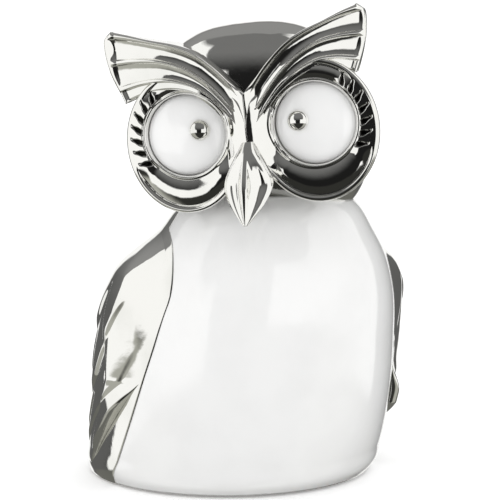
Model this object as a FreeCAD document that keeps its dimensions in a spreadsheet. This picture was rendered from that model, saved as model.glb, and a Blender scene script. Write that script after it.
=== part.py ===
"""Owl figurine: a hollow slip-cast earthenware owl with a white glazed breast and eyes and
silver-plated head, wings and back.

Row frame: millimetres, +Z up, front towards -Y, origin on the resting plane under the middle of the foot.
The head has a frame of its own, the face frame: origin midway between the eyes, x towards the owl's left,
-y out of the face, z up. on_head() carries a piece from the face frame to the row frame, so the turn and
the tilt of the head are two cells of the sheet.

The two body shells are cut from one lofted form along the line where the plating starts. Each piece that
is luted on (wings, tail, face discs, brows, beak, eyes) is trimmed by the surface that it sits on.
"""

import FreeCAD, Part
import math
import os

import Sketcher

Vector = FreeCAD.Vector
Constraint = Sketcher.Constraint

# ---------------------------------------------------------------- driving dimensions
# Levels of the body from the foot to the neck: height, half width, half depth, lean of the centre to -Y,
# and how far the wings stand out there.
BODY_LEVELS = {
    "foot": (0.4, 52.6, 50.6, -3.0, 0.8),
    "heel": (4.0, 53.8, 51.6, -0.4, 1.6),
    "hip": (12.0, 53.9, 51.2, 5.0, 3.2),
    "thigh": (30.0, 53.8, 50.4, 14.6, 5.0),
    "waist": (54.0, 53.7, 50.1, 21.3, 5.2),
    "chest": (75.0, 50.4, 47.0, 26.9, 4.8),
    "shoulder": (88.0, 44.8, 41.8, 31.5, 4.2),
    "collar": (97.0, 38.8, 36.4, 34.5, 3.0),
    "neck": (106.0, 32.4, 30.8, 36.5, 1.2),
    "nape": (111.0, 27.0, 26.0, 37.0, 0.6),
}
# Levels of the beak in the face frame, tip to root: height, half width, half depth, stand of the centre.
BEAK_LEVELS = {
    "hook": (-33.6, 1.1, 1.0, 16.4),
    "lip": (-30.6, 3.2, 3.0, 14.6),
    "jaw": (-25.5, 6.8, 6.0, 11.6),
    "cheek": (-19.3, 8.7, 8.2, 8.8),
    "bill": (-11.0, 6.0, 5.8, 6.8),
    "root": (-4.4, 2.8, 2.7, 5.0),
}
LEVEL_WORDS = ("height", "half_width", "half_depth", "forward", "relief")
SIZES = {
    # walls and helpers
    "body_wall": 4.5,
    "head_wall": 4.0,
    "overrun": 2.0,
    "reach": 90.0,
    # underside
    "base_thickness": 5.0,
    "vent_radius": 6.0,
    "felt_radius": 42.0,
    "felt_thickness": 1.2,
    # line where the plating starts, seen from the side
    "plating_foot_y": -11.0,
    "plating_bow_y": -49.0,
    "plating_bow_height": 73.0,
    "plating_neck_y": -33.5,
    "plating_neck_height": 97.5,
    "plating_lower_radius": 230.0,
    "plating_upper_radius": 21.0,
    # wings and tail, raised on the body
    "wing_margin": 1.6,
    "wing_top": 98.5,
    "wing_hem_y": -38.0,
    "wing_hem_height": 42.0,
    "wing_tip_y": 4.0,
    "wing_tip_height": 5.0,
    "tail_relief": 4.0,
    "tail_height": 46.0,
    "tail_bottom": 3.0,
    "tail_half_foot": 17.0,
    "strip_half_top": 5.0,
    "strip_top": 104.0,
    "strip_gap": 0.3,
    # head
    "head_turn": -37.0,
    "head_tilt": 6.3,
    "head_lead": 1.5,
    "face_forward": 34.0,
    "eye_rise": 24.3,
    "skull_half_width": 40.0,
    "skull_half_depth": 32.5,
    "skull_half_height": 36.6,
    "skull_drop": 1.5,
    # face discs and eyes
    "disc_x": 23.1,
    "disc_z": -2.4,
    "disc_half_width": 20.9,
    "disc_oval": 1.1866,
    "disc_front": 3.0,
    "disc_back": 26.0,
    "disc_lean": 6.0,
    "disc_taper": 0.72,
    "groove_radius": 17.6,
    "groove_tube": 1.6,
    "eye_x": 22.9,
    "eye_z": 0.0,
    "eye_radius": 13.8,
    "eye_lap": 0.3,
    "eye_half_depth": 4.6,
    "eye_back": 2.4,
    "pupil_x": 17.6,
    "pupil_z": 1.4,
    "pupil_radius": 3.15,
    "pupil_stand": 1.9,
    # brows with ear tufts: corners of the outline on the face, radii of its arcs, depths
    "brow_gap": 0.15,
    "brow_foot_x": 3.2,
    "brow_foot_z": -5.0,
    "brow_notch_z": 11.7,
    "brow_crest_x": 17.5,
    "brow_crest_z": 30.0,
    "brow_tip_x": 46.5,
    "brow_tip_z": 38.4,
    "brow_end_x": 41.5,
    "brow_end_z": 16.4,
    "brow_arch_x": 25.0,
    "brow_arch_z": 18.0,
    "brow_crest_radius": 60.0,
    "brow_arch_radius": 26.0,
    "brow_front": 7.0,
    "brow_root_back": 22.0,
    "tuft_back": 3.5,
    "tuft_slope": 27.0,
    "flute_x": 46.0,
    "flute_z": -12.5,
    "upper_flute_radius": 46.5,
    "lower_flute_radius": 39.2,
    "flute_tube": 2.0,
}

doc = FreeCAD.newDocument("owl_figurine")
sheet = doc.addObject("Spreadsheet::Sheet", "dims")


def fill_sheet():
    """Writes each driving dimension into the sheet, one alias to a cell."""
    cells = dict(SIZES)
    for levels in (BODY_LEVELS, BEAK_LEVELS):
        for level, numbers in levels.items():
            cells.update({f"{level}_{word}": number for word, number in zip(LEVEL_WORDS, numbers)})
    for row, (alias, number) in enumerate(cells.items(), start=1):
        sheet.set(f"A{row}", alias)
        sheet.set(f"B{row}", str(number))
        sheet.setAlias(f"B{row}", alias)
    doc.recompute()


def size(text):
    """An expression on the sheet as a number, in millimetres or degrees."""
    result = sheet.evalExpression(text)
    return float(getattr(result, "Value", result))


# ---------------------------------------------------------------- builders used by several pieces
def add(kind, name, **expressions):
    """A new object whose properties are bound to expressions; two underscores stand for a dot."""
    made = doc.addObject(kind, name)
    for prop, text in expressions.items():
        path = "." + prop.replace("__", ".") if "__" in prop else prop
        made.setExpression(path, text)
    return made


def combine(kind, name, base, tool):
    made = doc.addObject(f"Part::{kind}", name)
    made.Base = base
    made.Tool = tool
    return made


def cut(name, base, *tools):
    """base less each tool in turn; the last step carries the name."""
    for number, tool in enumerate(tools, start=1):
        step = name if number == len(tools) else f"{name}_less_{tool.Name}"
        base = combine("Cut", step, base, tool)
    return base


def common(name, base, tool):
    return combine("Common", name, base, tool)


def mirrored(source):
    """The owl's right-hand twin of a piece that was made on its left."""
    twin = doc.addObject("Part::Mirroring", f"{source.Name}_mirrored")
    twin.Source = source
    twin.Normal = Vector(1, 0, 0)
    return twin


def level_loft(name, levels, grow="0 mm"):
    """A closed form through one horizontal ellipse per level. Each ellipse is grown outwards by grow, an
    expression in which LEVEL stands for the level's name."""
    rings = []
    for level in levels:
        growth = grow.replace("LEVEL", level)
        ring = add(
            "Part::Ellipse",
            f"{name}_{level}",
            MajorRadius=f"dims.{level}_half_width * 1 mm + {growth}",
            MinorRadius=f"dims.{level}_half_depth * 1 mm + {growth}",
            Placement__Base__y=f"-dims.{level}_forward",
            Placement__Base__z=f"dims.{level}_height",
        )
        rings.append(ring)
    form = doc.addObject("Part::Loft", name)
    form.Sections = rings
    form.Solid = True
    return form


def ellipsoid(name, half_x, half_y, half_z, x="0", y="0", z="0"):
    return add(
        "Part::Ellipsoid",
        name,
        Radius1=half_z,
        Radius2=half_x,
        Radius3=half_y,
        Placement__Base__x=x,
        Placement__Base__y=y,
        Placement__Base__z=z,
    )


def arc_middle(start, end, radius, side):
    """The middle of the arc from start to end that bows to the left (side 1) or to the right (side -1)."""
    chord = end - start
    across = Vector(-chord.y, chord.x, 0).normalize()
    sagitta = radius - math.sqrt(radius**2 - (chord.Length / 2) ** 2)
    return (start + end) * 0.5 + across * side * sagitta


def outline(name, rotation, corners, arcs):
    """A closed sketch through corners, each a pair of expressions. arcs maps the number of a corner to the
    radius and the side of the round stretch that leaves it; every other stretch is straight."""
    sketch = doc.addObject("Sketcher::SketchObject", name)
    sketch.Placement = FreeCAD.Placement(Vector(), rotation)
    points = [Vector(size(across), size(up), 0) for across, up in corners]
    ends = []
    for number, start in enumerate(points):
        end = points[(number + 1) % len(points)]
        if number in arcs:
            radius, side = arcs[number]
            middle = arc_middle(start, end, size(radius), side)
            clockwise = side > 0
            first, last = (end, start) if clockwise else (start, end)
            sketch.addGeometry(Part.Arc(first, middle, last), False)
            ends.append((2, 1) if clockwise else (1, 2))
        else:
            sketch.addGeometry(Part.LineSegment(start, end), False)
            ends.append((1, 2))
    for number, (across, up) in enumerate(corners):
        following = (number + 1) % len(corners)
        sketch.addConstraint(
            Constraint("Coincident", number, ends[number][1], following, ends[following][0])
        )
        for kind, text in (("DistanceX", across), ("DistanceY", up)):
            placed = sketch.addConstraint(Constraint(kind, -1, 1, number, ends[number][0], size(text)))
            sketch.setExpression(f"Constraints[{placed}]", text)
        if number in arcs:
            radius = arcs[number][0]
            placed = sketch.addConstraint(Constraint("Radius", number, size(radius)))
            sketch.setExpression(f"Constraints[{placed}]", radius)
    return sketch


def prism(name, sketch, forwards, backwards):
    """A sketch pushed out along its normal and against it."""
    made = add("Part::Extrusion", name, LengthFwd=forwards, LengthRev=backwards)
    made.Base = sketch
    made.DirMode = "Normal"
    made.Solid = True
    return made


FROM_THE_SIDE = FreeCAD.Rotation(Vector(1, 1, 1), 120)  # sketch x along +Y, sketch y along +Z
FROM_THE_FRONT = FreeCAD.Rotation(Vector(1, 0, 0), 90)  # sketch x along +X, sketch y along +Z
UPRIGHT = FreeCAD.Rotation(Vector(1, 1, 1), 240)  # long axis along +Z, normal along +Y


def on_head(piece):
    """Turns, tilts and moves a piece from the face frame to its place above the nape."""
    neck_y = "-dims.nape_forward - dims.head_lead"
    piece.setExpression(".Placement.Base.x", "dims.face_forward * sin(dims.head_turn)")
    piece.setExpression(".Placement.Base.y", f"{neck_y} - dims.face_forward * cos(dims.head_turn)")
    piece.setExpression(".Placement.Base.z", "dims.nape_height + dims.eye_rise")
    piece.setExpression(".Placement.Rotation.Yaw", "dims.head_turn")
    piece.setExpression(".Placement.Rotation.Pitch", "-dims.head_tilt")
    return piece


# ---------------------------------------------------------------- body
def plating_prism():
    """The front of the body up to the line where the plating starts, wider than the owl."""
    corners = [
        ("-dims.reach", "-dims.overrun"),
        ("dims.plating_foot_y", "-dims.overrun"),
        ("dims.plating_bow_y", "dims.plating_bow_height"),
        ("dims.plating_neck_y", "dims.plating_neck_height"),
        ("dims.plating_neck_y", "dims.nape_height + dims.overrun"),
        ("-dims.reach", "dims.nape_height + dims.overrun"),
    ]
    arcs = {1: ("dims.plating_lower_radius", 1), 2: ("dims.plating_upper_radius", 1)}
    line = outline("plating_line", FROM_THE_SIDE, corners, arcs)
    return prism("plating_prism", line, "dims.reach", "dims.reach")


def body_shells(body, hollow):
    """The white breast and the plated back, two castings that meet along the plating line."""
    wall = cut("body_wall_form", body, hollow)
    front = plating_prism()
    return {"breast_shell": common("breast_shell", wall, front), "back_shell": cut("back_shell", wall, front)}


def base_plate(hollow):
    """The unglazed bottom inside the foot ring, with the vent that the slip is poured through."""
    slab = add(
        "Part::Cylinder",
        "base_slab",
        Radius="dims.reach",
        Height="dims.base_thickness",
        Placement__Base__z="dims.felt_thickness",
    )
    vent = add("Part::Cylinder", "vent", Radius="dims.vent_radius", Height="dims.reach")
    return cut("base_plate", common("base_disc", slab, hollow), vent)


def felt_base():
    """The felt disc under the base plate, which covers the vent and is what the owl stands on."""
    return add("Part::Cylinder", "felt_base", Radius="dims.felt_radius", Height="dims.felt_thickness")


def back_strip(name, top, half_top, gap):
    """A tapering strip down the middle of the back, wider at the foot, where the tail lies."""
    slope = "(dims.tail_half_foot - dims.strip_half_top) / dims.strip_top"
    half_foot = f"dims.tail_half_foot + {gap}"
    corners = [
        (f"-({half_foot})", "0"),
        (half_foot, "0"),
        (f"{half_foot} - {slope} * {top}", top),
        (f"-({half_foot} - {slope} * {top})", top),
    ]
    return prism(name, outline(f"{name}_outline", FROM_THE_FRONT, corners, {}), "0", "dims.reach")


def wings(body):
    """Two wings raised on the body. Each starts a margin behind the plating line, and its hem falls from
    there to the tip at the back."""
    form = level_loft("wing_form", BODY_LEVELS, "dims.LEVEL_relief * 1 mm")
    corners = [
        ("dims.plating_neck_y + dims.wing_margin", "dims.wing_top"),
        ("dims.plating_bow_y + dims.wing_margin", "dims.plating_bow_height"),
        ("dims.wing_hem_y", "dims.wing_hem_height"),
        ("dims.wing_tip_y", "dims.wing_tip_height"),
        ("dims.reach", "dims.wing_tip_height"),
        ("dims.reach", "dims.wing_top"),
    ]
    arcs = {
        0: ("dims.plating_upper_radius", -1),
        1: ("dims.plating_lower_radius", -1),
    }
    side = outline("wing_outline", FROM_THE_SIDE, corners, arcs)
    strip = back_strip("wing_strip", "dims.strip_top", "dims.strip_half_top", "dims.strip_gap")
    made = {}
    for name, left, right in (("left_wing", "dims.reach", "0"), ("right_wing", "0", "dims.reach")):
        blank = common(f"{name}_blank", prism(f"{name}_prism", side, left, right), form)
        made[name] = cut(name, blank, body, strip)
    return made


def tail(body):
    """A short fan of tail feathers between the wing tips."""
    form = level_loft("tail_form", BODY_LEVELS, "dims.tail_relief * 1 mm")
    strip = back_strip("tail_strip", "dims.tail_height", "dims.strip_half_top", "0")
    floor = add("Part::Cylinder", "tail_floor", Radius="dims.reach", Height="dims.tail_bottom")
    return cut("tail", common("tail_blank", strip, form), floor, body)


# ---------------------------------------------------------------- head, in the face frame
def skull(name, wall="0"):
    """The egg of the head, less a wall."""
    return ellipsoid(
        name,
        f"dims.skull_half_width - {wall}",
        f"dims.skull_half_depth - {wall}",
        f"dims.skull_half_height - {wall}",
        y="dims.face_forward",
        z="-dims.skull_drop",
    )


def brow_form():
    """The left brow and its ear tuft: a deep band, fluted along its front and sloped off behind the tuft."""
    corners = [
        ("dims.brow_gap", "dims.brow_foot_z"),
        ("dims.brow_foot_x", "dims.brow_foot_z"),
        ("dims.brow_arch_x", "dims.brow_arch_z"),
        ("dims.brow_end_x", "dims.brow_end_z"),
        ("dims.brow_tip_x", "dims.brow_tip_z"),
        ("dims.brow_crest_x", "dims.brow_crest_z"),
        ("dims.brow_gap", "dims.brow_notch_z"),
    ]
    arcs = {1: ("dims.brow_arch_radius", 1), 5: ("dims.brow_crest_radius", -1)}
    sketch = outline("brow_outline", FROM_THE_FRONT, corners, arcs)
    band = prism("brow_band", sketch, "dims.brow_front", "dims.brow_root_back")
    behind = add(
        "Part::Box",
        "tuft_behind",
        Length="dims.reach",
        Width="dims.reach",
        Height="dims.reach",
        Placement__Base__x="dims.brow_tip_x - dims.reach * cos(dims.tuft_slope)",
        Placement__Base__y="dims.tuft_back + dims.reach * sin(dims.tuft_slope)",
        Placement__Base__z="dims.brow_foot_z",
        Placement__Rotation__Yaw="-dims.tuft_slope",
    )
    flutes = []
    for name in ("upper_flute", "lower_flute"):
        flute = add(
            "Part::Torus",
            name,
            Radius1=f"dims.{name}_radius",
            Radius2="dims.flute_tube",
            Placement__Base__x="dims.flute_x",
            Placement__Base__y="-dims.brow_front",
            Placement__Base__z="dims.flute_z",
            Placement__Rotation__Roll="90",
        )
        flutes.append(flute)
    return cut("brow_form", band, behind, *flutes)


def upright_ellipse(name, half_width, half_height, x, y, z):
    """An ellipse that faces the front, taller than it is wide."""
    ring = add("Part::Ellipse", name, MajorRadius=half_height, MinorRadius=half_width)
    ring.Placement = FreeCAD.Placement(Vector(), UPRIGHT)
    for axis, text in (("x", x), ("y", y), ("z", z)):
        ring.setExpression(f".Placement.Base.{axis}", text)
    return ring


def disc_form():
    """The left face disc: an oval boss that narrows towards the skull and leans outwards, with a groove
    round the eye and an open window in which the eye sits."""
    half = ("dims.disc_half_width", "dims.disc_half_width * dims.disc_oval")
    front = upright_ellipse("disc_ring", *half, "0", "-dims.disc_front", "0")
    narrow = [f"{text} * dims.disc_taper" for text in half]
    back = upright_ellipse("disc_root", *narrow, "0", "dims.disc_back", "0")
    boss = doc.addObject("Part::Loft", "disc_boss")
    boss.Sections = [front, back]
    boss.Solid = True
    across = ("dims.eye_x - dims.disc_x", "dims.eye_z - dims.disc_z")
    window = add(
        "Part::Cylinder",
        "eye_window",
        Radius="dims.eye_radius - dims.eye_lap",
        Height="dims.reach",
        Placement__Base__x=across[0],
        Placement__Base__y="dims.eye_back",
        Placement__Base__z=across[1],
        Placement__Rotation__Roll="90",
    )
    groove = add(
        "Part::Torus",
        "disc_groove",
        Radius1="dims.groove_radius",
        Radius2="dims.groove_tube",
        Placement__Base__x=across[0],
        Placement__Base__y="-dims.disc_front",
        Placement__Base__z=across[1],
        Placement__Rotation__Roll="90",
    )
    form = cut("disc_form", boss, window, groove)
    form.setExpression(".Placement.Base.x", "dims.disc_x")
    form.setExpression(".Placement.Base.z", "dims.disc_z")
    form.setExpression(".Placement.Rotation.Yaw", "dims.disc_lean")
    return form


def eye_form():
    return ellipsoid(
        "eye_form",
        "dims.eye_radius",
        "dims.eye_half_depth",
        "dims.eye_radius",
        "dims.eye_x",
        "dims.eye_back",
        "dims.eye_z",
    )


def pupil_form():
    return add(
        "Part::Sphere",
        "pupil_form",
        Radius="dims.pupil_radius",
        Placement__Base__x="dims.pupil_x",
        Placement__Base__y="-dims.pupil_stand",
        Placement__Base__z="dims.pupil_z",
    )


def head_pieces(body):
    """Shell, beak, and the left and right brow, face disc, eye and pupil."""
    head = skull("skull")
    wall = on_head(cut("head_wall_form", head, skull("skull_hollow", "dims.head_wall")))
    beak_blank = level_loft("beak_form", BEAK_LEVELS)
    made = {"head_shell": cut("head_shell", wall, body), "beak": on_head(cut("beak", beak_blank, head))}
    left = {form.Name: form for form in (brow_form(), disc_form(), eye_form(), pupil_form())}
    right = {name: mirrored(form) for name, form in left.items()}
    for side, forms in (("left", left), ("right", right)):
        brow, disc, eye, pupil = (forms[f"{name}_form"] for name in ("brow", "disc", "eye", "pupil"))
        brow_cut = cut(f"{side}_brow", brow, head, beak_blank)
        made[f"{side}_brow"] = on_head(brow_cut)
        seated = on_head(cut(f"{side}_disc_seated", disc, head, brow, eye, beak_blank))
        made[f"{side}_face_disc"] = cut(f"{side}_face_disc", seated, body)
        made[f"{side}_eye"] = on_head(cut(f"{side}_eye", eye, head, brow))
        made[f"{side}_pupil"] = on_head(cut(f"{side}_pupil", pupil, eye))
    return made


# ---------------------------------------------------------------- the whole owl
def build():
    body = level_loft("body", BODY_LEVELS)
    hollow = level_loft("body_hollow", BODY_LEVELS, "-dims.body_wall * 1 mm")
    nodes = body_shells(body, hollow)
    nodes["base_plate"] = base_plate(hollow)
    nodes["felt_base"] = felt_base()
    nodes.update(wings(body))
    nodes["tail"] = tail(body)
    nodes.update(head_pieces(body))
    for name, piece in nodes.items():
        piece.Label = name
    return nodes


def check(nodes):
    """Stops if any object failed or any piece is empty or broken."""
    for thing in doc.Objects:
        if {"Invalid", "Error"} & set(thing.State):
            raise RuntimeError(f"{thing.Name} failed: {thing.State}")
    for name, piece in nodes.items():
        if piece.Shape.isNull() or not piece.Shape.isValid() or not piece.Shape.Solids:
            raise RuntimeError(f"{name} has no sound solid")


def write(nodes):
    os.makedirs("parts", exist_ok=True)
    for name, piece in nodes.items():
        piece.Shape.exportStep(f"parts/{name}.step")
        box = piece.Shape.BoundBox
        print(
            f"{name}: {len(piece.Shape.Solids)} solid, {piece.Shape.Volume:.0f} mm3, "
            f"z {box.ZMin:.1f} to {box.ZMax:.1f}"
        )


fill_sheet()
pieces = build()
doc.recompute()
check(pieces)
write(pieces)
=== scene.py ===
"""Looks of the owl figurine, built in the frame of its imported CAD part.

Every piece is a numpy surface in the row frame (metres, +Z up, face towards -Y). The face has a frame of
its own, with its origin midway between the eyes: x towards the owl's left, -y out of the face, z up.
The sidebar panel "Owl" has one button for each group of pieces, and the sizes and colours that they read.
"""

import math

import bmesh
import bpy
import numpy as np
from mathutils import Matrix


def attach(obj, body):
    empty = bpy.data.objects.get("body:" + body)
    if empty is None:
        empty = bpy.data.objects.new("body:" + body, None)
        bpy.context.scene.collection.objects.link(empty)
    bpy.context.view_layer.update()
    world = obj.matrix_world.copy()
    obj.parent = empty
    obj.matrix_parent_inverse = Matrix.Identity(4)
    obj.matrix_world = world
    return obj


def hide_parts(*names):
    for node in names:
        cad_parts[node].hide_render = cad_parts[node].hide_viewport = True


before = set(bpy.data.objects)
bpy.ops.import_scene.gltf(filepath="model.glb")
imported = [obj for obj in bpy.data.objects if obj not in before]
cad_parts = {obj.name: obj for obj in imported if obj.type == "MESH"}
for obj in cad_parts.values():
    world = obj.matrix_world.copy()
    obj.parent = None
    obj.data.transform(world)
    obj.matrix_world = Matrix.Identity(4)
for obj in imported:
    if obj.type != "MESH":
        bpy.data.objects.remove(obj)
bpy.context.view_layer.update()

bl_info = {
    "name": "Owl figurine",
    "version": (1, 0, 0),
    "blender": (4, 5, 0),
    "location": "View3D > Sidebar > Owl",
    "description": "A white and silver-plated earthenware owl",
    "category": "Object",
}

MM = 0.001

# ---------------------------------------------------------------- outlines, in millimetres
# Body: height, half width, half depth, lean of the centre to -Y, how far the wings stand out.
BODY_LEVELS = (
    (0.8, 54.0, 53.0, -0.6, 0.8),
    (4.0, 55.4, 54.2, 2.0, 1.6),
    (12.0, 55.4, 53.6, 6.8, 3.2),
    (30.0, 54.8, 51.6, 15.2, 5.0),
    (54.0, 53.7, 50.1, 21.3, 5.2),
    (75.0, 50.4, 47.0, 26.9, 4.8),
    (88.0, 44.8, 41.8, 31.5, 4.2),
    (97.0, 38.8, 36.4, 34.5, 3.0),
    (106.0, 32.4, 30.8, 36.5, 1.2),
    (111.0, 27.0, 26.0, 37.0, 0.6),
)
# Beak, in the face frame: height, half width, half depth, stand of the centre, sharpness of its section.
BEAK_LEVELS = (
    (-32.0, 0.8, 0.7, 16.8, 1.0),
    (-29.0, 3.4, 3.0, 14.8, 1.0),
    (-24.0, 6.9, 6.4, 11.3, 1.0),
    (-18.3, 8.7, 8.6, 8.4, 1.0),
    (-13.5, 7.2, 7.0, 8.0, 0.6),
    (-9.0, 4.9, 5.4, 6.9, 0.1),
    (-4.0, 2.2, 2.0, 6.0, 0.0),
)
# Section of the beak: share of the half width, share of the half depth.
BEAK_SECTION = (
    (0.0, 1.0),
    (0.07, 0.995),
    (0.13, 0.95),
    (0.19, 0.77),
    (0.38, 0.50),
    (0.58, 0.33),
    (0.70, 0.31),
    (0.90, 0.17),
    (1.0, 0.0),
)
# Brow from the bridge to the end of the tuft: share of its length, then x and z of the upper edge, of the
# middle ridge and of the lower edge.
BROW_STATIONS = (
    (0.0, -0.2, 11.7, -0.2, 3.6, -0.2, -5.0),
    (0.12, 3.3, 16.2, 4.0, 7.4, 3.3, 0.6),
    (0.27, 9.6, 23.2, 8.8, 13.4, 7.2, 5.6),
    (0.42, 16.2, 28.8, 14.0, 18.9, 12.2, 11.2),
    (0.55, 22.4, 31.9, 19.6, 23.4, 18.4, 15.4),
    (0.70, 31.0, 34.7, 28.0, 27.4, 25.6, 17.9),
    (0.85, 39.0, 37.4, 36.6, 28.9, 33.6, 18.0),
    (1.0, 46.4, 39.2, 45.0, 29.0, 41.6, 15.7),
)

# Tiers of feathers from the top: height of their ends, number of lobes, depth of a lobe, step, shift.
FEATHER_TIERS = (
    (68.0, 5.5, 16.0, 1.2, 0.15),
    (48.0, 6.0, 18.0, 1.2, 0.65),
    (26.0, 7.0, 16.0, 0.8, 0.2),
)
# Hem of a wing: height of its corner on each side (left 1, right -1), and y of its tip.
HEM_CORNERS = {1.0: 26.0, -1.0: 42.0}
HEM_TIP_Y = 4.0
# Power of the curve by which the end of each tuft is swept back.
LEFT_SWEEP_POWER = 1.5
RIGHT_SWEEP_POWER = 1.9
BASE_RADIUS = 49.0
RELIEF_WALL = 1.5


# ---------------------------------------------------------------- sizes and colours
def length(name, description, millimetres):
    return bpy.props.FloatProperty(
        name=name, description=description, default=millimetres * MM, unit="LENGTH", precision=4
    )


def angle(name, description, degrees):
    return bpy.props.FloatProperty(
        name=name, description=description, default=math.radians(degrees), subtype="ANGLE"
    )


def colour(name, description, rgb):
    return bpy.props.FloatVectorProperty(
        name=name, description=description, default=rgb, size=3, subtype="COLOR", min=0.0, max=1.0
    )


class OwlSizes(bpy.types.PropertyGroup):
    """Sizes of the owl, shared by its pieces."""

    wall: length("Wall", "Thickness of the body's wall", 2.0)
    wing_margin: length("Wing margin", "Plated strip between the breast and the wing", 1.6)
    wing_top: length("Wing top", "Height of the top of the wings", 98.5)
    wing_tip: length("Wing tip", "Height of the tips of the wings", 5.0)
    tail_height: length("Tail height", "Height of the top of the tail", 46.0)
    tail_relief: length("Tail relief", "How far the tail stands out from the back", 4.0)
    felt_radius: length("Felt radius", "Radius of the felt under the owl", 42.0)
    felt_thickness: length("Felt thickness", "Thickness of the felt", 1.2)
    base_thickness: length("Base thickness", "Thickness of the base plate", 5.0)
    vent_radius: length("Vent radius", "Radius of the vent in the base plate", 6.0)
    head_turn: angle("Head turn", "Turn of the face from the front, towards the owl's right", 37.0)
    head_tilt: angle("Head tilt", "How far the owl's left side of the head is raised", 6.3)
    neck_forward: length("Neck forward", "Distance of the head's axis in front of the origin", 38.5)
    eye_line: length("Eye line", "Height of the middle of the eyes", 135.3)
    face_forward: length("Face forward", "Distance of the face from the head's axis", 34.0)
    skull_half_width: length("Skull half width", "Half the width of the head", 37.0)
    skull_half_depth: length("Skull half depth", "Half the depth of the head", 32.5)
    skull_half_height: length("Skull half height", "Half the height of the head", 38.5)
    skull_drop: length("Skull drop", "Centre of the head below the eye line", 1.5)
    crown_lead: length("Crown lead", "How far the crown leans towards the face", 22.0)
    crown_aside: length("Crown aside", "How far the head lies towards the owl's right", 2.0)
    eye_x: length("Eye across", "Distance of an eye from the middle of the face", 22.9)
    eye_radius: length("Eye radius", "Radius of the white dome of the eye", 14.3)
    eye_depth: length("Eye depth", "How far the dome of the eye bulges", 4.6)
    eye_back: length("Eye back", "How far the rim of the dome lies behind the face", 1.6)
    pupil_x: length("Pupil across", "Distance of a pupil from the middle of the face", 17.6)
    pupil_z: length("Pupil height", "Height of a pupil above the eye line", 1.4)
    pupil_radius: length("Pupil radius", "Radius of the bead of the pupil", 3.9)
    pupil_stand: length("Pupil stand", "Centre of the bead in front of the face", 2.2)
    disc_x: length("Disc across", "Distance of a disc from the middle of the face", 23.7)
    disc_z: length("Disc height", "Height of a disc above the eye line", -2.4)
    disc_half_width: length("Disc half width", "Half the width of a face disc", 21.5)
    disc_half_height: length("Disc half height", "Half the height of a face disc", 24.8)
    brow_front: length("Brow front", "How far the brows stand in front of the face", 7.0)
    right_sweep: length("Right sweep", "How far the end of the right tuft is swept back", 8.0)
    left_sweep: length("Left sweep", "How far the end of the left tuft is swept back", 12.0)
    right_droop: length("Right droop", "How far the lower edge of the right tuft hangs down", 3.0)
    right_reach: length("Right reach", "How much longer the right tuft is than the brow's stations", 3.3)
    left_reach: length("Left reach", "How much longer the left tuft is than the brow's stations", -3.2)


class OwlColours(bpy.types.PropertyGroup):
    """Colours of the owl's finishes."""

    silver: colour("Silver", "Silver plating", (0.93, 0.925, 0.90))
    silver_shade: colour("Silver shade", "Silver plating where it is duller", (0.84, 0.84, 0.81))
    # Painted shade: near-black colour laid into the nicks of the face discs, standing in for shade and dark
    # reflection there.
    painted_nick_shade: colour("Painted nick shade", "Silver plating at the bottom of the nicks", (0.010, 0.010, 0.008))
    glaze: colour("Glaze", "White glaze", (0.78, 0.78, 0.775))
    glaze_shade: colour("Glaze shade", "White glaze where it is thinner", (0.755, 0.755, 0.75))
    bisque: colour("Bisque", "Unglazed clay", (0.72, 0.64, 0.54))
    bisque_speck: colour("Bisque speck", "Specks in the unglazed clay", (0.42, 0.33, 0.26))
    felt: colour("Felt", "Felt", (0.030, 0.031, 0.034))
    felt_fibre: colour("Felt fibre", "Lighter fibres of the felt", (0.075, 0.075, 0.080))
    floor: colour("Floor", "Studio floor", (0.93, 0.93, 0.93))


# ---------------------------------------------------------------- curves
def smooth_between(table, at):
    """Cubic curve through the rows of a table, whose first column is the place along it. At each row the
    slope is that of its neighbours, and between rows the curve is the Hermite cubic of both ends."""
    table = np.asarray(table, float)
    order = np.argsort(table[:, 0])
    place, values = table[order, 0], table[order, 1:]
    slopes = np.gradient(values, place, axis=0)
    at = np.clip(at, place[0], place[-1])
    row = np.clip(np.searchsorted(place, at) - 1, 0, len(place) - 2)
    gap = place[row + 1] - place[row]
    t = ((at - place[row]) / gap)[..., None]
    gap = gap[..., None]
    curve = (
        values[row] * (1 + 2 * t) * (1 - t) ** 2
        + slopes[row] * gap * t * (1 - t) ** 2
        + values[row + 1] * t**2 * (3 - 2 * t)
        - slopes[row + 1] * gap * t**2 * (1 - t)
    )
    return np.moveaxis(curve, -1, 0)


def ease(x):
    """0 up to x = 0, 1 from x = 1, and 3x^2 - 2x^3 between."""
    x = np.clip(x, 0.0, 1.0)
    return x * x * (3.0 - 2.0 * x)


def hill(x):
    """A round hill: the square of the cosine, 1 at x = 0 and 0 from |x| = 1."""
    return np.cos(np.clip(x, -1.0, 1.0) * math.pi / 2) ** 2


def roll(x):
    """A quarter of a circle: 0 at x = 0, 1 from x = 1, upright where it starts."""
    return np.sqrt(1.0 - (1.0 - np.clip(x, 0.0, 1.0)) ** 2)


def mix(start, end, share):
    return start + (end - start) * share


def grid(across, along):
    """Two arrays of one value for each crossing: across runs along a row, along from row to row."""
    return np.meshgrid(across, along)


def stack(x, y, z):
    return np.stack(np.broadcast_arrays(x, y, z), axis=-1)


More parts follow.
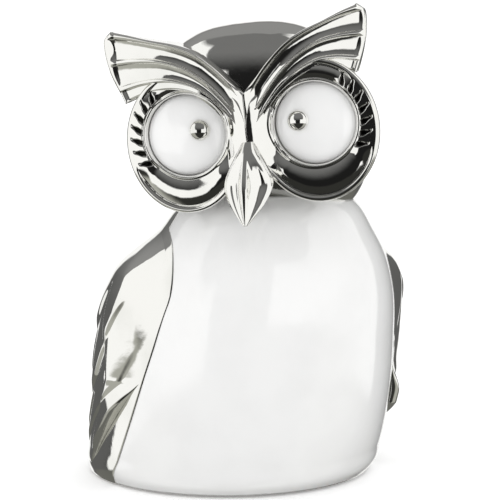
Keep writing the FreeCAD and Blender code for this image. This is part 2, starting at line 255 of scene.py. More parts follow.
# ---------------------------------------------------------------- meshes
def mesh_object(name, points, closed, hollow=None):
    """A mesh over a grid of points (metres). A closed grid joins its last column to its first and its end
    rows to a point each; doubled points are welded and the faces turned outwards. hollow, one value for
    each point, is kept for the material, which paints shade into the plating where it is high."""
    if closed:
        ends = [points[row].mean(axis=0, keepdims=True).repeat(points.shape[1], axis=0) for row in (0, -1)]
        points = np.concatenate([ends[0][None], points, ends[1][None]])
    rows, columns = points.shape[:2]
    index = np.arange(rows * columns).reshape(rows, columns)
    following = np.roll(index, -1, axis=1)
    if not closed:
        index, following = index[:, :-1], following[:, :-1]
    faces = np.stack([index[:-1], following[:-1], following[1:], index[1:]], axis=-1).reshape(-1, 4)
    mesh = bpy.data.meshes.new(name)
    mesh.from_pydata(points.reshape(-1, 3), [], faces)
    if hollow is not None:
        layer = mesh.attributes.new("hollow", "FLOAT", "POINT")
        layer.data.foreach_set("value", np.pad(hollow, ((1, 1), (0, 0))).ravel())
    if closed:
        weld(mesh)
    mesh.shade_smooth()
    made = bpy.data.objects.new(name, mesh)
    bpy.context.scene.collection.objects.link(made)
    return made


def weld(mesh):
    work = bmesh.new()
    work.from_mesh(mesh)
    bmesh.ops.remove_doubles(work, verts=work.verts, dist=MM * 0.001)
    bmesh.ops.recalc_face_normals(work, faces=work.faces)
    work.to_mesh(mesh)
    work.free()


def thicken(made, thickness):
    """Gives a sheet a wall on its inner side."""
    wall = made.modifiers.new("wall", "SOLIDIFY")
    wall.thickness = thickness
    wall.offset = -1.0
    return made


def hand_over(made, material, node):
    """Gives a piece its finish and lets it stand for a CAD node."""
    made.data.materials.append(material)
    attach(made, "root")
    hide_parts(node)


# ---------------------------------------------------------------- body
def body_section(height):
    return smooth_between(np.array(BODY_LEVELS) * MM, height)


def on_body(turn, height, raised):
    """Ellipse of the body at each height, grown by raised: x = (w + raised) sin(turn),
    y = -forward - (d + raised) cos(turn)."""
    half_width, half_depth, forward, _ = body_section(height)
    x = (half_width + raised) * np.sin(turn)
    y = -forward - (half_depth + raised) * np.cos(turn)
    return stack(x, y, height)


def turn_at(y, height):
    """Where the body's ellipse at a height passes y, as a turn from the front."""
    _, half_depth, forward, _ = body_section(height)
    return np.arccos(np.clip((-forward - y) / half_depth, -1.0, 1.0))


def arc_y(start, end, radius, height):
    """y of the arc from start to end, each (y, height), that bows towards the front."""
    start, end = np.array(start) * MM, np.array(end) * MM
    chord = end - start
    reach = np.hypot(*chord)
    across = np.array((-chord[1], chord[0])) / reach
    centre = (start + end) / 2 - across * math.sqrt((radius * MM) ** 2 - (reach / 2) ** 2)
    rise = np.clip(height - centre[1], -radius * MM, radius * MM)
    return centre[0] - np.sqrt((radius * MM) ** 2 - rise**2)


def plating_y(height, side):
    """y of the line where the plating starts: a long arc, then a short one over the shoulder. On the owl's
    left (side 1) the lower part was painted further to the front."""
    foot, bow, neck = (-11.0, -2.0), (-49.0, 73.0), (-33.5, 97.5)
    lower = arc_y(foot, bow, 230.0, height)
    upper = arc_y(bow, neck, 21.0, np.clip(height, bow[1] * MM, neck[1] * MM))
    lead = np.where(side > 0, 5.0 * MM * hill((height / MM - 22.0) / 45.0), 0.0)
    return np.where(height < bow[1] * MM, lower, upper) - lead


def breast_points():
    """The front of the body between the two plating lines: turn = share of the line's turn."""
    bottom, top = BODY_LEVELS[0][0] * MM, BODY_LEVELS[-1][0] * MM
    share, height = grid(np.linspace(-1.0, 1.0, 181), np.linspace(bottom, top, 161))
    return on_body(share * turn_at(plating_y(height, share), height), height, 0.0)


def back_points():
    """The rest of the body, from one plating line round the back to the other."""
    bottom, top = BODY_LEVELS[0][0] * MM, BODY_LEVELS[-1][0] * MM
    share, height = grid(np.linspace(0.0, 1.0, 181), np.linspace(bottom, top, 161))
    start = turn_at(plating_y(height, 1.0), height)
    end = 2 * math.pi - turn_at(plating_y(height, -1.0), height)
    return on_body(mix(start, end, share), height, 0.0)


def wing_front_y(sizes, height, side):
    """Front edge of a wing: a margin behind the plating line, then the straight hem down to the tip. The
    hem of the left wing (side 1) starts lower."""
    edge = plating_y(height, side) + sizes.wing_margin
    corner_height = HEM_CORNERS[side] * MM
    corner = plating_y(np.array(corner_height), side) + sizes.wing_margin
    tip = HEM_TIP_Y * MM
    hem = corner + (tip - corner) * (corner_height - height) / (corner_height - sizes.wing_tip)
    return np.where(height < corner_height, hem, edge)


def feather_steps(share, height, floor):
    """Tiers of feathers as steps in the relief. Each tier ends in a row of round lobes, the square of a
    sine, and below its end the surface drops by the step."""
    steps = 0.0
    slant = 9.0
    step_width = 8.0 * MM
    for bottom, lobes, drop, step, shift in FEATHER_TIERS:
        edge = (bottom - drop * np.sin(math.pi * (share * lobes + shift)) ** 2 + slant * share) * MM
        steps = steps + step * MM * ease((height - edge) / step_width)
    return steps * ease((height - floor) / step_width)


def wing_points(sizes, side):
    """A wing: the body's surface raised by the relief of its level and by its tiers of feathers. It swells
    softly out of the shoulder and ends in a crisp hem. share runs from the front edge to the back. The left
    wing is fuller in the middle."""
    share, height = grid(np.linspace(0.0, 1.0, 241), np.linspace(sizes.wing_tip, sizes.wing_top, 261))
    half_width, half_depth, _, relief = body_section(height)
    front = turn_at(wing_front_y(sizes, height, side), height)
    strip = mix(17.3, 4.7, height / (104.0 * MM)) * MM
    back = math.pi - strip / half_width
    turn = mix(front, back, share)
    from_front = (turn - front) * half_depth
    soft = ease((height / MM - 30.0) / 14.0)
    swell = mix(roll(from_front / (2.0 * MM)), ease(from_front / (20.0 * MM)), soft)
    swell = swell * roll((back - turn) * half_width / (3.0 * MM))
    swell = swell * ease((sizes.wing_top - height) / (18.0 * MM))
    swell = swell * roll((height - sizes.wing_tip) / (2.0 * MM))
    fuller = 1.6 * MM * hill((height / MM - 66.0) / 40.0) if side > 0 else 0.0
    raised = (relief + fuller - 1.6 * MM + feather_steps(share, height, sizes.wing_tip)) * swell - 0.15 * MM
    return on_body(turn * side, height, raised)


def tail_points(sizes):
    """The tail: a fan of three long lobes raised on the back."""
    share, height = grid(np.linspace(-1.0, 1.0, 121), np.linspace(3.0 * MM, sizes.tail_height, 121))
    half_width, _, _, _ = body_section(height)
    half = mix(17.0, 4.7, height / (104.0 * MM)) * MM
    turn = math.pi + share * half / half_width
    lobes = 0.35 * np.abs(np.sin(share * 1.5 * math.pi)) ** 0.6
    rise = roll((sizes.tail_height - height) / (16.0 * MM)) * roll((height - 3.0 * MM) / (3.0 * MM))
    side = roll((1.0 - np.abs(share)) / 0.2)
    raised = sizes.tail_relief * (0.65 + lobes) * rise * side - 0.3 * MM
    return on_body(turn, height, raised)


def turned_points(profile, columns, stretch=1.0, centre_y=0.0):
    """A profile of (radius, height) turned about the upright axis, stretched along x."""
    around = np.linspace(0.0, 2 * math.pi, columns, endpoint=False)
    radius, height = (np.array(part)[:, None] * MM for part in zip(*profile))
    return stack(radius * stretch * np.cos(around), radius * np.sin(around) + centre_y, height)


# ---------------------------------------------------------------- head
def from_face(sizes, points, side=1.0):
    """Carries points (metres) of the face frame to the row frame; side -1 mirrors them first."""
    x, y, z = np.moveaxis(points * (side, 1.0, 1.0), -1, 0)
    tilt, turn = sizes.head_tilt, -sizes.head_turn
    x, z = x * math.cos(tilt) - z * math.sin(tilt), x * math.sin(tilt) + z * math.cos(tilt)
    x, y = x * math.cos(turn) - y * math.sin(turn), x * math.sin(turn) + y * math.cos(turn)
    reach = sizes.face_forward
    move = (reach * math.sin(turn), -sizes.neck_forward - reach * math.cos(turn), sizes.eye_line)
    return stack(x, y, z) + np.array(move)


def dome_points(sizes):
    """The head: seen from the front a superellipse, |x/w|^p + |z/h|^p = 1, shrunk as the sine of the way
    from front to back. Its upper half leans towards the face by a branch of a hyperbola, which is straight
    near the crown, so the lean puts no edge into the dome."""
    around, back = grid(
        np.linspace(0.0, 2 * math.pi, 240, endpoint=False), np.linspace(0.0, math.pi, 122)[1:-1]
    )
    power = 2.6
    swell = (np.abs(np.cos(around)) ** power + np.abs(np.sin(around)) ** power) ** (-1 / power)
    x = sizes.skull_half_width * np.sin(back) * swell * np.cos(around) - sizes.crown_aside
    rise = np.sin(back) * swell * np.sin(around)
    z = sizes.skull_half_height * rise - sizes.skull_drop
    bend = 0.3
    lean = (np.hypot(rise, bend) + rise - bend) / 2
    y = sizes.face_forward - sizes.skull_half_depth * np.cos(back) - sizes.crown_lead * lean
    return stack(x, y, z)


def bridge_y(x):
    """y of the bridge between the eyes: a round ridge, a cosine of x."""
    return -(2.0 + 5.4 * np.cos(np.clip(x / (8.5 * MM), -1.0, 1.0) * math.pi / 2)) * MM


def disc_reach(sizes, around):
    """Distance from the middle of the eye to the outline of the disc, an ellipse about its own centre."""
    width, height = sizes.disc_half_width, sizes.disc_half_height
    across, up = np.cos(around) / width, np.sin(around) / height
    start = ((sizes.eye_x - sizes.disc_x) / width, -sizes.disc_z / height)
    a = across**2 + up**2
    b = across * start[0] + up * start[1]
    c = start[0] ** 2 + start[1] ** 2 - 1.0
    return (-b + np.sqrt(b**2 - a * c)) / a


def nicks(around, from_eye):
    """Seven comma-shaped hollows on the outer side of a disc, from 0 to 1 deep: a round head by the eye
    and a narrow tail outwards."""
    hollow = 0.0
    width = mix(1.25, 0.5, ease((from_eye / MM - 3.0) / 2.0))
    for number in range(7):
        centre = math.radians(50.0 - 13.5 * number) + 0.028 * (from_eye / MM - 2.6)
        offset = np.angle(np.exp(1j * (around - centre))) * 17.0
        hollow = np.maximum(hollow, ease(1.6 * (1.0 - np.abs(offset) / width)))
    return hollow * ease((from_eye / MM - 1.5) / 0.7) * ease((6.2 - from_eye / MM) / 1.2)


def disc_points(sizes):
    """A face disc: a raised lid round the eye, a round band, a groove, a rolled lip, then the side, which
    narrows towards the back of the head. Towards the beak the front runs into the bridge instead. Returns
    the points and how hollow each is."""
    around = np.linspace(0.0, 2 * math.pi, 480, endpoint=False)
    reach = disc_reach(sizes, around)[None]
    width = reach - sizes.eye_radius
    from_eye = np.linspace(0.0, 1.0, 100)[:, None] * width
    from_edge = width - from_eye
    x = sizes.eye_x + (sizes.eye_radius + from_eye) * np.cos(around)
    z = (sizes.eye_radius + from_eye) * np.sin(around)
    lid = 0.7 * MM * hill((from_eye / MM - 0.7) / 0.9)
    nicked = ease((np.cos(around - math.radians(8.0)) - 0.60) / 0.25)
    lip_width = 2.2 * MM
    band_share = np.clip((from_eye - 1.2 * MM) / (width - 1.2 * MM - lip_width), 0.0, 1.0)
    band = 1.1 * MM * np.sin(math.pi * band_share) ** 0.8 * np.clip(width / (11.0 * MM), 0.4, 1.0)
    lip = 1.3 * MM * np.sqrt(np.clip(1.0 - ((from_edge - lip_width / 2) / (lip_width / 2)) ** 2, 0.0, 1.0))
    flat = 1.6 * MM * ease(from_eye / (2.0 * MM)) * roll(from_edge / (1.6 * MM))
    band, lip = mix(band, flat, nicked), mix(lip, 0.0, nicked)
    # hollow sinks the nicks and also marks where the plating is painted near black as shade.
    hollow = nicks(around[None], from_eye)
    lean = math.tan(math.radians(6.0)) * (x - sizes.disc_x)
    front, nick_depth = 1.6 * MM, 0.8 * MM
    outer = -front - lid - band - lip + nick_depth * hollow + lean
    inner = ease((-np.cos(around) - 0.60) / 0.32)
    x = x - inner * (sizes.disc_x - sizes.disc_half_width + 0.2 * MM) * from_eye / width
    face = stack(x, mix(outer, bridge_y(x) - lid, inner), z)
    behind = np.linspace(0.0, 1.0, 24)[1:, None]
    shrink = mix(1.0, 0.72, behind)
    side_x = sizes.disc_x + (x[-1] - sizes.disc_x) * shrink
    side_z = sizes.disc_z + (z[-1] - sizes.disc_z) * shrink
    side_y = mix(face[-1, :, 1], 24.0 * MM, behind)
    well = stack(x[0], np.array((8.0, 4.0, 1.0))[:, None] * MM, z[0])
    points = np.concatenate([well, face, stack(side_x, side_y, side_z)])
    return points, np.pad(hollow, ((len(well), len(side_y)), (0, 0)))


def eye_points(sizes):
    """The dome of an eye, an ellipsoid with a low mound where the bead of the pupil sits."""
    around, back = grid(
        np.linspace(0.0, 2 * math.pi, 160, endpoint=False), np.linspace(0.0, math.pi, 82)[1:-1]
    )
    radius = sizes.eye_radius * np.sin(back)
    x = sizes.eye_x + radius * np.cos(around)
    z = radius * np.sin(around)
    from_pupil = np.hypot(x - sizes.pupil_x, z - sizes.pupil_z)
    mound = 0.5 * MM * np.exp(-((from_pupil / (4.6 * MM)) ** 2)) * np.clip(np.cos(back), 0.0, 1.0)
    y = sizes.eye_back - sizes.eye_depth * np.cos(back) - mound
    return stack(x, y, z)


def pupil_points(sizes):
    """The bead of a pupil: a ball that flares into a short foot on the dome."""
    around, back = grid(
        np.linspace(0.0, 2 * math.pi, 96, endpoint=False), np.linspace(0.0, math.pi, 74)[1:-1]
    )
    foot = 1.0 + 0.12 * hill((back - 2.1) / 0.5)
    radius = sizes.pupil_radius * np.sin(back) * foot
    x = sizes.pupil_x + radius * np.cos(around)
    z = sizes.pupil_z + radius * np.sin(around)
    y = -sizes.pupil_stand - sizes.pupil_radius * np.cos(back)
    return stack(x, y, z)


def rib(up, centre, half_width):
    """A half-round rib across the section of a brow, 1 at its crest."""
    return np.sqrt(np.clip(1.0 - ((up - centre) / half_width) ** 2, 0.0, 1.0))


def brow_depth(up):
    """Depth of a brow behind its front, in millimetres, from its lower edge (up = 0) to its upper edge:
    a ledge, two shallow hollows, each a sine, and three half-round ribs."""
    ledge = 1.7 * ease((0.165 - up) / 0.02) + 1.9 * (1.0 - roll(up / 0.05))
    lower = np.sin(math.pi * np.clip((up - 0.15) / 0.39, 0.0, 1.0))
    upper = np.sin(math.pi * np.clip((up - 0.54) / 0.42, 0.0, 1.0))
    ribs = 0.55 * rib(up, 0.19, 0.03) + 0.65 * rib(up, 0.54, 0.045) + 0.6 * rib(up, 0.94, 0.055)
    edge = 2.2 * (1.0 - roll((1.0 - up) / 0.05))
    return 1.0 + ledge + 0.9 * lower + 0.9 * upper - ribs + edge


def brow_points(sizes, droop, reach, swept, power):
    """A brow and its tuft: a ribbed section carried from the bridge to the cut-off end of the tuft. Across
    the section the place is the parabola through the lower edge, the middle ridge and the upper edge. The
    tuft hangs by droop, is longer by reach, and its end is swept back by a power of the way along."""
    up, along = grid(np.linspace(0.0, 1.0, 181), np.linspace(0.0, 1.0, 220))
    top_x, top_z, ridge_x, ridge_z, low_x, low_z = smooth_between(BROW_STATIONS, along) * MM
    ridge_at = 0.54
    low_part = (up - ridge_at) * (up - 1.0) / ridge_at
    ridge_part = up * (1.0 - up) / (ridge_at * (1.0 - ridge_at))
    top_part = up * (up - ridge_at) / (1.0 - ridge_at)
    x = low_x * low_part + ridge_x * ridge_part + top_x * top_part
    z = low_z * low_part + ridge_z * ridge_part + top_z * top_part
    z = z - droop * (1.0 - 0.8 * up) * ease((along - 0.3) / 0.7)
    corner = 1.2 * np.sin(math.pi * up) - 2.4 * np.clip((up - 0.84) / 0.16, 0.0, 1.0) ** 2
    x = x + corner * along**10 * MM + reach * ease((x / MM - 14.0) / 32.0)
    depth = mix(1.0, brow_depth(up), ease(along / 0.2) * ease((1.0 - along) / 0.045)) * MM
    end_round = 1.5 * MM * (1.0 - roll((1.0 - along) / 0.025))
    sweep = swept * np.clip((x / MM - 14.0) / 32.0, 0.0, 1.0) ** power
    front = -sizes.brow_front + depth + sweep + end_round
    front = mix(bridge_y(x), front, ease(along / 0.16))
    back = np.minimum(3.4 * MM + (46.0 * MM - x) * math.tan(math.radians(27.0)), 18.0 * MM)
    face = stack(x, front, z)
    rear = stack(x, back, z + 0.4 * MM * (0.5 - up))[:, ::-1]
    return np.concatenate([face, rear], axis=1)


def beak_points(sizes):
    """The beak: at each height a kite section with a ridge, hollow flanks and flanges in front and half an
    ellipse behind; towards the root the front becomes half an ellipse as well. Its tip leans aside."""
    height = np.linspace(BEAK_LEVELS[0][0], BEAK_LEVELS[-1][0], 150)[:, None]
    half_width, half_depth, stand, sharp = smooth_between(BEAK_LEVELS, height)
    across = np.linspace(-1.0, 1.0, 121)[None]
    kite = smooth_between(BEAK_SECTION, np.abs(across))[0]
    round_front = np.sqrt(1.0 - across**2)
    front = -(stand + half_depth * mix(round_front, kite, sharp))
    back_across = np.linspace(1.0, -1.0, 61)[None, 1:-1]
    back = -(stand - half_depth * np.sqrt(1.0 - back_across**2))
    aside = 0.055 * (height - BEAK_LEVELS[-1][0])
    front_part = stack(half_width * across + aside, front, height)
    back_part = stack(half_width * back_across + aside, back, height)
    return np.concatenate([front_part, back_part], axis=1) * MM


# ---------------------------------------------------------------- shader nodes
class Wire:
    """A shader socket that takes part in sums."""

    def __init__(self, tree, socket):
        self.tree = tree
        self.socket = socket

    def math(self, operation, *others):
        values = dict(enumerate((self, *others)))
        return self.tree.node("ShaderNodeMath", {"operation": operation}, values)

    def __add__(self, other):
        return self.math("ADD", other)

    def __sub__(self, other):
        return self.math("SUBTRACT", other)

    def __mul__(self, other):
        return self.math("MULTIPLY", other)

    def __rsub__(self, other):
        return self.tree.node("ShaderNodeMath", {"operation": "SUBTRACT"}, {0: other, 1: self})

    __radd__ = __add__
    __rmul__ = __mul__

    def between(self, low, high):
        """0 where the value is low or less, 1 where it is high or more, smooth between."""
        settings = {"interpolation_type": "SMOOTHSTEP"}
        values = {"Value": self, "From Min": low, "From Max": high}
        return self.tree.node("ShaderNodeMapRange", settings, values)


class Tree:
    """Makes nodes in the node tree of a material or a world."""

    def __init__(self, owner):
        owner.use_nodes = True
        self.tree = owner.node_tree
        self.tree.nodes.clear()

    def node(self, kind, settings=None, values=None, output=0):
        """One node: its settings first, then numbers or wires for its inputs."""
        made = self.tree.nodes.new(kind)
        for name, value in (settings or {}).items():
            setattr(made, name, value)
        for name, value in (values or {}).items():
            if isinstance(value, Wire):
                self.tree.links.new(value.socket, made.inputs[name])
            else:
                made.inputs[name].default_value = value
        return Wire(self, made.outputs[output])

    def blend(self, share, first, second):
        """A colour between two others. A Mix node takes its colours at inputs 6 and 7, and gives one at
        output 2."""
        return self.node("ShaderNodeMix", {"data_type": "RGBA"}, {0: share, 6: first, 7: second}, 2)

    def noise(self, scale, detail):
        """Noise over the place on the object; scale is the number of lumps to a metre."""
        place = self.node("ShaderNodeTexCoord", output=3)
        values = {"Vector": place, "Scale": scale, "Detail": detail}
        return self.node("ShaderNodeTexNoise", {"normalize": True}, values)

    def finish(self, surface, kind="ShaderNodeOutputMaterial"):
        made = self.tree.nodes.new(kind)
        self.tree.links.new(surface.socket, made.inputs["Surface"])


def rgba(rgb):
    return (*rgb, 1.0)


def coated(name, base, roughness, bump_height, bump_depth, **constants):
    """A material from its node tree's parts: base(tree), roughness(tree) and bump_height(tree)."""
    material = bpy.data.materials.new(f"owl_{name}")
    tree = Tree(material)
    normal = tree.node(
        "ShaderNodeBump", None, {"Strength": 1.0, "Distance": bump_depth, "Height": bump_height(tree)}
    )
    values = {"Base Color": base(tree), "Roughness": roughness(tree), "Normal": normal}
    values.update({key.replace("_", " "): value for key, value in constants.items()})
    tree.finish(tree.node("ShaderNodeBsdfPrincipled", None, values))
    return material


def silver_plating(colours):
    """Mirror plating, a little duller in clouds, with the faint waves of the glaze under it, and with
    painted shade, near black, where the hollow attribute marks the nicks of the face discs.
    """
    light, shade = rgba(colours.silver), rgba(colours.silver_shade)
    painted_nick_shade = rgba(colours.painted_nick_shade)

    def base(tree):
        clouds = tree.blend(tree.noise(38.0, 4.0).between(0.45, 0.75), light, shade)
        # Painted shade: the hollow attribute blends the plating to near black in the nicks.
        hollow = tree.node("ShaderNodeAttribute", {"attribute_name": "hollow"}, output=2)
        return tree.blend(hollow, clouds, painted_nick_shade)

    return coated(
        "silver_plating",
        base,
        lambda tree: 0.025 + tree.noise(160.0, 5.0) * 0.05,
        lambda tree: tree.noise(120.0, 2.0) + tree.noise(900.0, 1.0) * 0.06,
        0.00012,
        Metallic=1.0,
    )


def white_glaze(colours):
    """White gloss glaze with faint clouds where it runs thin, and a soft ripple."""
    light, shade = rgba(colours.glaze), rgba(colours.glaze_shade)
    return coated(
        "white_glaze",
        lambda tree: tree.blend(tree.noise(45.0, 5.0).between(0.4, 0.7), light, shade),
        lambda tree: 0.10 + tree.noise(220.0, 4.0) * 0.10,
        lambda tree: tree.noise(70.0, 2.0) + tree.noise(700.0, 1.0) * 0.05,
        0.00012,
        Coat_Weight=1.0,
        Coat_Roughness=0.03,
    )


def bisque(colours):
    """Unglazed clay, matt and speckled."""
    light, speck = rgba(colours.bisque), rgba(colours.bisque_speck)
    return coated(
        "bisque",
        lambda tree: tree.blend(tree.noise(1500.0, 3.0).between(0.58, 0.70), light, speck),
        lambda tree: 0.75 + tree.noise(400.0, 3.0) * 0.2,
        lambda tree: tree.noise(1200.0, 6.0),
        0.00025,
    )


def felt(colours):
    """Dark felt with lighter fibres."""
    dark, fibre = rgba(colours.felt), rgba(colours.felt_fibre)
    return coated(
        "felt",
        lambda tree: tree.blend(tree.noise(2600.0, 6.0).between(0.45, 0.7), dark, fibre),
        lambda tree: 0.85 + tree.noise(900.0, 2.0) * 0.15,
        lambda tree: tree.noise(2400.0, 8.0),
        0.0006,
    )


def floor_finish(colours):
    """Pale studio floor with a trace of unevenness."""
    light = rgba(colours.floor)
    return coated(
        "floor",
        lambda tree: tree.blend(tree.noise(2.0, 2.0) * 0.03, light, (0.0, 0.0, 0.0, 1.0)),
        lambda tree: 0.7 + tree.noise(3.0, 2.0) * 0.1,
        lambda tree: tree.noise(4.0, 2.0),
        0.0001,
        Specular_IOR_Level=0.1,
        Emission_Color=light,
        Emission_Strength=0.22,
    )


def finish_of(name):
    """The material of a slot, made the first time that it is asked for."""
    makers = {"silver_plating": silver_plating, "white_glaze": white_glaze, "bisque": bisque, "felt": felt}
    return bpy.data.materials.get(f"owl_{name}") or makers[name](bpy.context.scene.owl_colours)


# ---------------------------------------------------------------- operators
def make_head_piece(name, node, slot, points, side=1.0, hollow=None):
    sizes = bpy.context.scene.owl_sizes
    made = mesh_object(name, from_face(sizes, points, side), True, hollow)
    hand_over(made, finish_of(slot), node)


def make_sheet(name, node, slot, points, wall):
    made = thicken(mesh_object(name, points, closed=False), wall)
    hand_over(made, finish_of(slot), node)


SIDES = (("left", 1.0), ("right", -1.0))


class OWL_OT_body(bpy.types.Operator):
    """Makes the white breast and the plated back"""

    bl_idname = "owl.body"
    bl_label = "Body"

    def execute(self, context):
        wall = context.scene.owl_sizes.wall
        make_sheet("breast_skin", "breast_shell", "white_glaze", breast_points(), wall)
        make_sheet("back_skin", "back_shell", "silver_plating", back_points(), wall)
        return {"FINISHED"}


class OWL_OT_wings(bpy.types.Operator):
    """Makes the two wings"""

    bl_idname = "owl.wings"
    bl_label = "Wings"

    def execute(self, context):
        sizes = context.scene.owl_sizes
        for word, side in SIDES:
            points = wing_points(sizes, side)
            points = points if side > 0 else points[:, ::-1]
            make_sheet(f"{word}_wing_skin", f"{word}_wing", "silver_plating", points, RELIEF_WALL * MM)
        return {"FINISHED"}


class OWL_OT_tail(bpy.types.Operator):
    """Makes the tail"""

    bl_idname = "owl.tail"
    bl_label = "Tail"

    def execute(self, context):
        points = tail_points(context.scene.owl_sizes)
        make_sheet("tail_skin", "tail", "silver_plating", points, RELIEF_WALL * MM)
        return {"FINISHED"}


class OWL_OT_underside(bpy.types.Operator):
    """Makes the base plate and the felt under it"""

    bl_idname = "owl.underside"
    bl_label = "Underside"

    def execute(self, context):
        sizes = context.scene.owl_sizes
        felt_top = sizes.felt_thickness / MM
        plate_top = felt_top + sizes.base_thickness / MM
        vent, outer, edge = sizes.vent_radius / MM, BASE_RADIUS, 0.6
        profile = (
            (vent, plate_top - edge),
            (vent, felt_top + edge),
            (vent + edge, felt_top),
            (outer - edge, felt_top),
            (outer, felt_top + edge),
            (outer, plate_top - edge),
            (outer - edge, plate_top),
            (vent + edge, plate_top),
            (vent, plate_top - edge),
        )
        plate = np.swapaxes(turned_points(profile, 160, stretch=1.03, centre_y=1.4 * MM), 0, 1)
        ring = mesh_object("base_plate_skin", np.concatenate([plate, plate[:1]]), closed=False)
        weld(ring.data)
        hand_over(ring, finish_of("bisque"), "base_plate")
        reach = sizes.felt_radius / MM
        pad = (
            (reach - 0.5, 0.0),
            (reach - 0.1, 0.2),
            (reach, 0.6),
            (reach - 0.1, 1.0),
            (reach - 0.5, felt_top),
        )
        disc = mesh_object("felt_skin", turned_points(pad, 160), closed=True)
        hand_over(disc, finish_of("felt"), "felt_base")
        return {"FINISHED"}


class OWL_OT_head(bpy.types.Operator):
    """Makes the dome of the head"""

    bl_idname = "owl.head"
    bl_label = "Head"

    def execute(self, context):
        make_head_piece("head_dome", "head_shell", "silver_plating", dome_points(context.scene.owl_sizes))
        return {"FINISHED"}


class OWL_OT_discs(bpy.types.Operator):
    """Makes the discs round the eyes"""

    bl_idname = "owl.discs"
    bl_label = "Face discs"

    def execute(self, context):
        points, hollow = disc_points(context.scene.owl_sizes)
        for word, side in SIDES:
            make_head_piece(f"{word}_disc_skin", f"{word}_face_disc", "silver_plating", points, side, hollow)
        return {"FINISHED"}


class OWL_OT_eyes(bpy.types.Operator):
    """Makes the domes of the eyes and the beads of the pupils"""

    bl_idname = "owl.eyes"
    bl_label = "Eyes"

    def execute(self, context):
        sizes = context.scene.owl_sizes
        dome, bead = eye_points(sizes), pupil_points(sizes)
        for word, side in SIDES:
            make_head_piece(f"{word}_eye_dome", f"{word}_eye", "white_glaze", dome, side)
            make_head_piece(f"{word}_pupil_bead", f"{word}_pupil", "silver_plating", bead, side)
        return {"FINISHED"}


class OWL_OT_brows(bpy.types.Operator):
    """Makes the ribbed brows with their ear tufts"""

    bl_idname = "owl.brows"
    bl_label = "Brows"

    def execute(self, context):
        sizes = context.scene.owl_sizes
        for word, side in SIDES:
            if side > 0:
                shape = (0.0, sizes.left_reach, sizes.left_sweep, LEFT_SWEEP_POWER)
            else:
                shape = (sizes.right_droop, sizes.right_reach, sizes.right_sweep, RIGHT_SWEEP_POWER)
            points = brow_points(sizes, *shape)
            make_head_piece(f"{word}_brow_skin", f"{word}_brow", "silver_plating", points, side)
        return {"FINISHED"}


class OWL_OT_beak(bpy.types.Operator):
    """Makes the beak"""

    bl_idname = "owl.beak"
    bl_label = "Beak"

    def execute(self, context):
        make_head_piece("beak_skin", "beak", "silver_plating", beak_points(context.scene.owl_sizes))
        return {"FINISHED"}


CAMERA_AZIMUTH = math.radians(-24.0)
CAMERA_ELEVATION = math.radians(7.5)
CAMERA_DISTANCE = 0.8
CAMERA_AIM = (4.66 * MM, -8.57 * MM, 84.7 * MM)
FRAME_WIDTH = 189.7 * MM


def studio_world(world):
    """Plain studio light. Matt surfaces and the camera see an even white room; polished ones see white
    screens at both sides, a dark gap where the camera stands, a grey ceiling and a pale floor."""
    tree = Tree(world)
    direction = tree.node("ShaderNodeTexCoord")
    sine, cosine = math.sin(CAMERA_AZIMUTH), math.cos(CAMERA_AZIMUTH)

    def along(axis):
        values = {0: direction, 1: axis}
        return tree.node("ShaderNodeVectorMath", {"operation": "DOT_PRODUCT"}, values, 1)

    side = along((cosine, sine, 0.0))
    ahead = along((sine, -cosine, 0.0))
    up = along((0.0, 0.0, 1.0))
    turn = side.math("ARCTAN2", ahead)
    apart = turn.math("ABSOLUTE")
    right = side.between(-0.02, 0.02)
    inner = 0.56 - right * 0.30
    screen = (apart - inner).between(-0.03, 0.03) * (1.0 - apart.between(2.05, 2.12))
    over = up - apart.between(0.7, 1.3) * 0.70 - right * 0.18
    screen = screen * (1.0 - over.between(0.0, 0.14))
    backdrop = apart.between(2.75, 2.85) * (1.0 - up.between(0.25, 0.45))
    ceiling = up.between(-0.05, 0.65)
    behind = apart.between(1.9, 2.2)
    dim = 0.012 + behind * 0.10 + ceiling * 0.16
    light = screen.math("MAXIMUM", backdrop) * 1.15
    glow = dim.math("MAXIMUM", light)
    ground = 1.0 - up.between(-0.42, -0.34)
    pale = 0.03 + apart.between(0.80, 1.20) * (1.0 - apart.between(1.75, 2.05) * 0.70) * 0.38
    black, screen_tint, floor_tint = (0.0, 0.0, 0.0, 1.0), (1.0, 1.0, 0.985, 1.0), (1.0, 1.0, 0.90, 1.0)
    above = tree.blend(ground, tree.blend(glow, black, screen_tint), black)
    below = tree.blend(ground * pale, black, floor_tint)
    settings = {"data_type": "RGBA", "blend_type": "ADD"}
    seen = tree.node("ShaderNodeMix", settings, {0: 1.0, 6: above, 7: below}, 2)
    glossy = tree.node("ShaderNodeLightPath", output=3)
    room = tree.blend(glossy, (1.12, 1.12, 1.12, 1.0), seen)
    background = tree.node("ShaderNodeBackground", None, {"Color": room, "Strength": 1.0})
    tree.finish(background, "ShaderNodeOutputWorld")


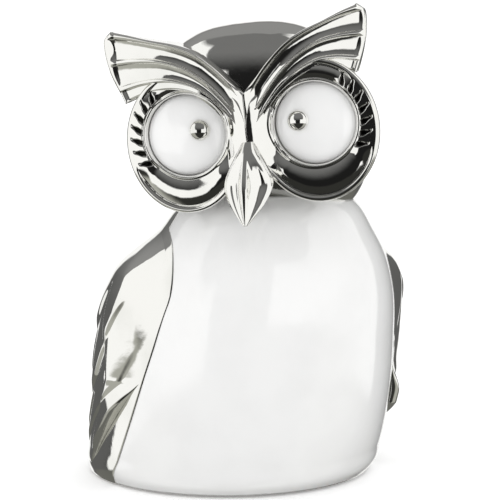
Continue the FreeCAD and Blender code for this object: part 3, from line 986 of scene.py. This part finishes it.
class OWL_OT_stage(bpy.types.Operator):
    """Makes the floor, the light and the camera"""

    bl_idname = "owl.stage"
    bl_label = "Stage"

    def execute(self, context):
        scene = context.scene
        reach = 12.0
        x, y = grid(np.linspace(-reach, reach, 25), np.linspace(-reach, reach, 25))
        floor = mesh_object("floor", stack(x, y, 0.0 * x), closed=False)
        floor.data.materials.append(floor_finish(scene.owl_colours))
        floor.visible_glossy = False
        scene.world = bpy.data.worlds.new("studio")
        studio_world(scene.world)
        screen = bpy.data.lights.new("front_screen", "AREA")
        screen.size = 1.0
        screen.energy = 1.6
        front = bpy.data.objects.new("front_screen", screen)
        scene.collection.objects.link(front)
        front.location = (math.sin(CAMERA_AZIMUTH), -math.cos(CAMERA_AZIMUTH), 0.05)
        front.rotation_euler = (math.pi / 2, 0.0, CAMERA_AZIMUTH)
        front.visible_glossy = False
        data = bpy.data.cameras.new("camera")
        camera = bpy.data.objects.new("camera", data)
        scene.collection.objects.link(camera)
        data.sensor_width = 36.0
        data.lens = data.sensor_width * CAMERA_DISTANCE / FRAME_WIDTH
        level = math.cos(CAMERA_ELEVATION)
        away = (
            math.sin(CAMERA_AZIMUTH) * level,
            -math.cos(CAMERA_AZIMUTH) * level,
            math.sin(CAMERA_ELEVATION),
        )
        camera.location = [aim + CAMERA_DISTANCE * part for aim, part in zip(CAMERA_AIM, away)]
        camera.rotation_euler = (math.pi / 2 - CAMERA_ELEVATION, 0.0, CAMERA_AZIMUTH)
        scene.camera = camera
        scene.view_settings.view_transform = "Standard"
        return {"FINISHED"}


class OWL_PT_panel(bpy.types.Panel):
    """Buttons for the pieces of the owl, and its sizes and colours"""

    bl_label = "Owl figurine"
    bl_idname = "OWL_PT_panel"
    bl_space_type = "VIEW_3D"
    bl_region_type = "UI"
    bl_category = "Owl"

    def draw(self, context):
        for operator in OPERATORS:
            self.layout.operator(operator.bl_idname)
        for group in (context.scene.owl_sizes, context.scene.owl_colours):
            column = self.layout.column()
            for name in group.__annotations__:
                column.prop(group, name)


OPERATORS = (
    OWL_OT_body,
    OWL_OT_wings,
    OWL_OT_tail,
    OWL_OT_underside,
    OWL_OT_head,
    OWL_OT_discs,
    OWL_OT_eyes,
    OWL_OT_brows,
    OWL_OT_beak,
    OWL_OT_stage,
)
CLASSES = (OwlSizes, OwlColours, *OPERATORS, OWL_PT_panel)


def register():
    for kind in CLASSES:
        bpy.utils.register_class(kind)
    bpy.types.Scene.owl_sizes = bpy.props.PointerProperty(type=OwlSizes)
    bpy.types.Scene.owl_colours = bpy.props.PointerProperty(type=OwlColours)


def unregister():
    del bpy.types.Scene.owl_colours
    del bpy.types.Scene.owl_sizes
    for kind in reversed(CLASSES):
        bpy.utils.unregister_class(kind)


def main():
    register()
    for operator in OPERATORS:
        group, name = operator.bl_idname.split(".")
        getattr(getattr(bpy.ops, group), name)()


if __name__ == "__main__":
    main()
